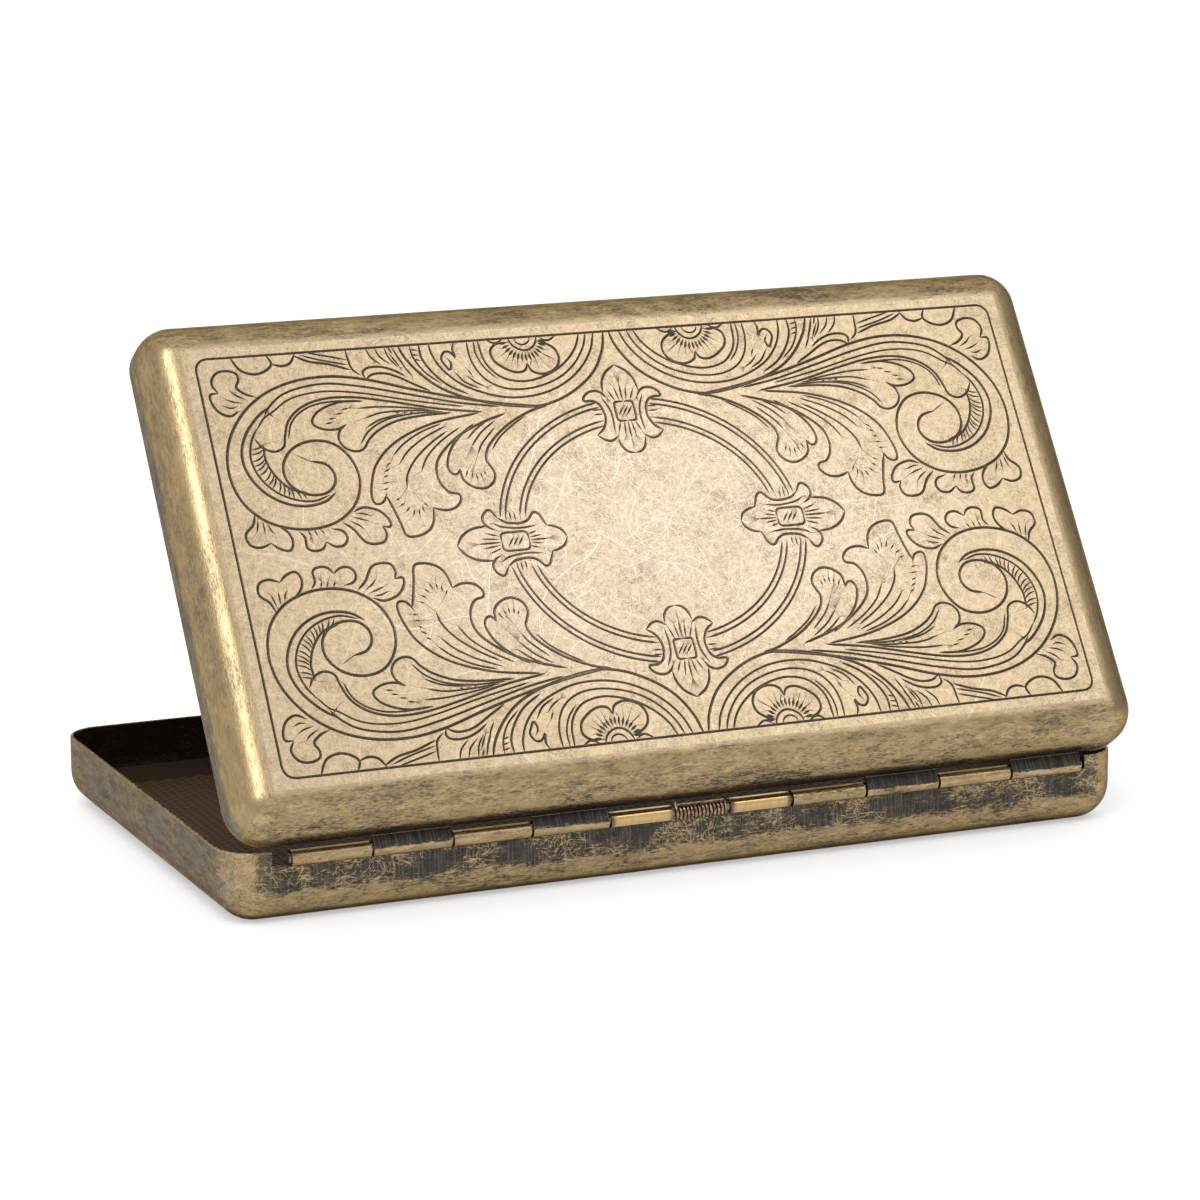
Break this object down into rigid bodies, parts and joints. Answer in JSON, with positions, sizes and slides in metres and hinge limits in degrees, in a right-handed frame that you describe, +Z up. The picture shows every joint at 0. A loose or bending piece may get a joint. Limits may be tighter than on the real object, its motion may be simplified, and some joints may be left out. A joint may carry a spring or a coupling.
{
  "type": "needle case",
  "caption": "Slim rectangular sheet-metal needle case with a sprung lid hinged along one long side, an engraved lid and a magnetic lined tray.",
  "frame": {"origin": "centre of the base's flat bottom", "axes": "+Z up; X along the case's length and the hinge; the hinge is on the +Y side and the catch button on the -Y side"},
  "size_m": [0.105, 0.0626, 0.0581],
  "materials": {
    "case_brass": "antique brass, rubbed on the faces and edges, dark in the recesses",
    "tube_brass": "bright drawn brass",
    "catch_brass": "satin",
    "hinge_steel": "drawn wire",
    "spring_wire": "oil-tempered, coppery",
    "spring_strip": "rolled spring steel",
    "magnet_rubber": "matt ferrite rubber",
    "liner_vinyl": "embossed diamond grain"
  },
  "bodies": {
    "base": {"base_shell": "case_brass", "hinge_pin": "hinge_steel", "spacer_tube_1": "tube_brass", "spacer_tube_2": "tube_brass", "torsion_spring": "spring_wire", "magnet_sheet": "magnet_rubber", "floor_liner": "liner_vinyl", "catch_spring": "spring_strip", "catch_rivets": "catch_brass"},
    "lid": {"lid_shell": "case_brass", "lid_keeper": "catch_brass"},
    "catch": {"catch_button": "catch_brass", "catch_hook": "spring_strip"}
  },
  "joints": [
    {"name": "lid_hinge", "type": "hinge", "parent": "base", "child": "lid", "pos_m": [0, 0.0299, 0.0075], "axis": [-1, 0, 0], "range_deg": [-56, 114], "stiffness_Nm_per_rad": 0.05, "springref_deg": 4.87, "deforming": ["torsion_spring"]},
    {"name": "catch_press", "type": "slide", "parent": "base", "child": "catch", "axis": [0, 1, 0], "range_m": [0, 0.0007], "stiffness_N_per_m": 1200, "deforming": ["catch_spring"]}
  ]
}
